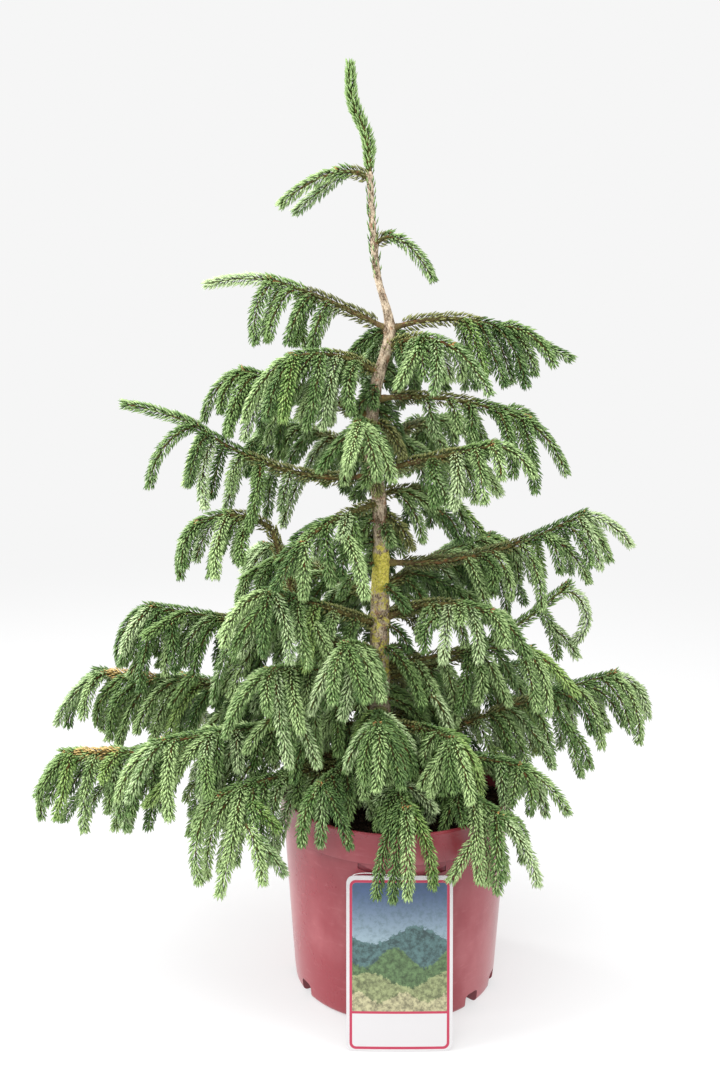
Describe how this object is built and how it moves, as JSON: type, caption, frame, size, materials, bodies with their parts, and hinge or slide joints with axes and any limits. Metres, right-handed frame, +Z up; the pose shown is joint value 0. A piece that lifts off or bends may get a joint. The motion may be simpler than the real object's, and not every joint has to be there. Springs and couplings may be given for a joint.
{
  "type": "potted oriental spruce",
  "caption": "Young weeping spruce with hanging needle-clad shoots, standing in a round plastic nursery pot with a plain card leaning on it.",
  "frame": {"origin": "centre of the pot's flat underside, on the surface that it stands on", "axes": "+Z up along the plant, +X to the viewer's right and +Y away from the viewer"},
  "size_m": [0.5285, 0.362, 0.756],
  "materials": {
    "pot_plastic": "dusty raspberry plastic, half matt",
    "peat": "dark brown crumbly peat",
    "card": "white card, smooth",
    "bark": "tan to grey-brown rough bark",
    "needles": "fine mid-green needles"
  },
  "bodies": {
    "root": {"pot": "pot_plastic", "soil": "peat", "label_card": "card", "trunk": "bark", "foliage_leader": "needles", "foliage_top_left": "needles", "foliage_high_right": "needles", "bough_upper_left": "bark", "foliage_upper_left": "needles", "bough_upper_right": "bark", "foliage_upper_right": "needles", "foliage_upper_right_front": "needles", "foliage_upper_left_front": "needles", "foliage_upper_back": "needles", "bough_left_arch": "bark", "foliage_left_arch": "needles", "bough_right": "bark", "foliage_right": "needles", "bough_right_front": "bark", "foliage_right_front": "needles", "foliage_right_behind": "needles", "foliage_front_upper": "needles", "bough_left": "bark", "foliage_left": "needles", "foliage_back_right": "needles", "foliage_back_left": "needles", "bough_long_right": "bark", "foliage_long_right": "needles", "foliage_left_front_mid": "needles", "bough_left_riser": "bark", "foliage_left_riser": "needles", "foliage_mid_back_right": "needles", "foliage_mid_back_left": "needles", "bough_right_mid_front": "bark", "foliage_right_mid_front": "needles", "foliage_right_mid": "needles", "foliage_right_curl": "needles", "bough_left_mid": "bark", "foliage_left_mid": "needles", "foliage_left_front": "needles", "foliage_left_front_low": "needles", "foliage_front_mid": "needles", "bough_right_low": "bark", "foliage_right_low": "needles", "bough_left_low": "bark", "foliage_left_low": "needles", "bough_left_lowest": "bark", "foliage_left_lowest": "needles", "foliage_left_front_far": "needles", "foliage_left_front_lowest": "needles", "foliage_right_front_low": "needles", "foliage_right_front_lowest": "needles", "foliage_front_low": "needles", "foliage_front_right_low": "needles", "foliage_front_left_low": "needles", "foliage_front_lowest": "needles", "foliage_low_back_right": "needles", "foliage_low_back": "needles", "foliage_low_back_left": "needles", "foliage_lowest_back_left": "needles"}
  },
  "joints": []
}
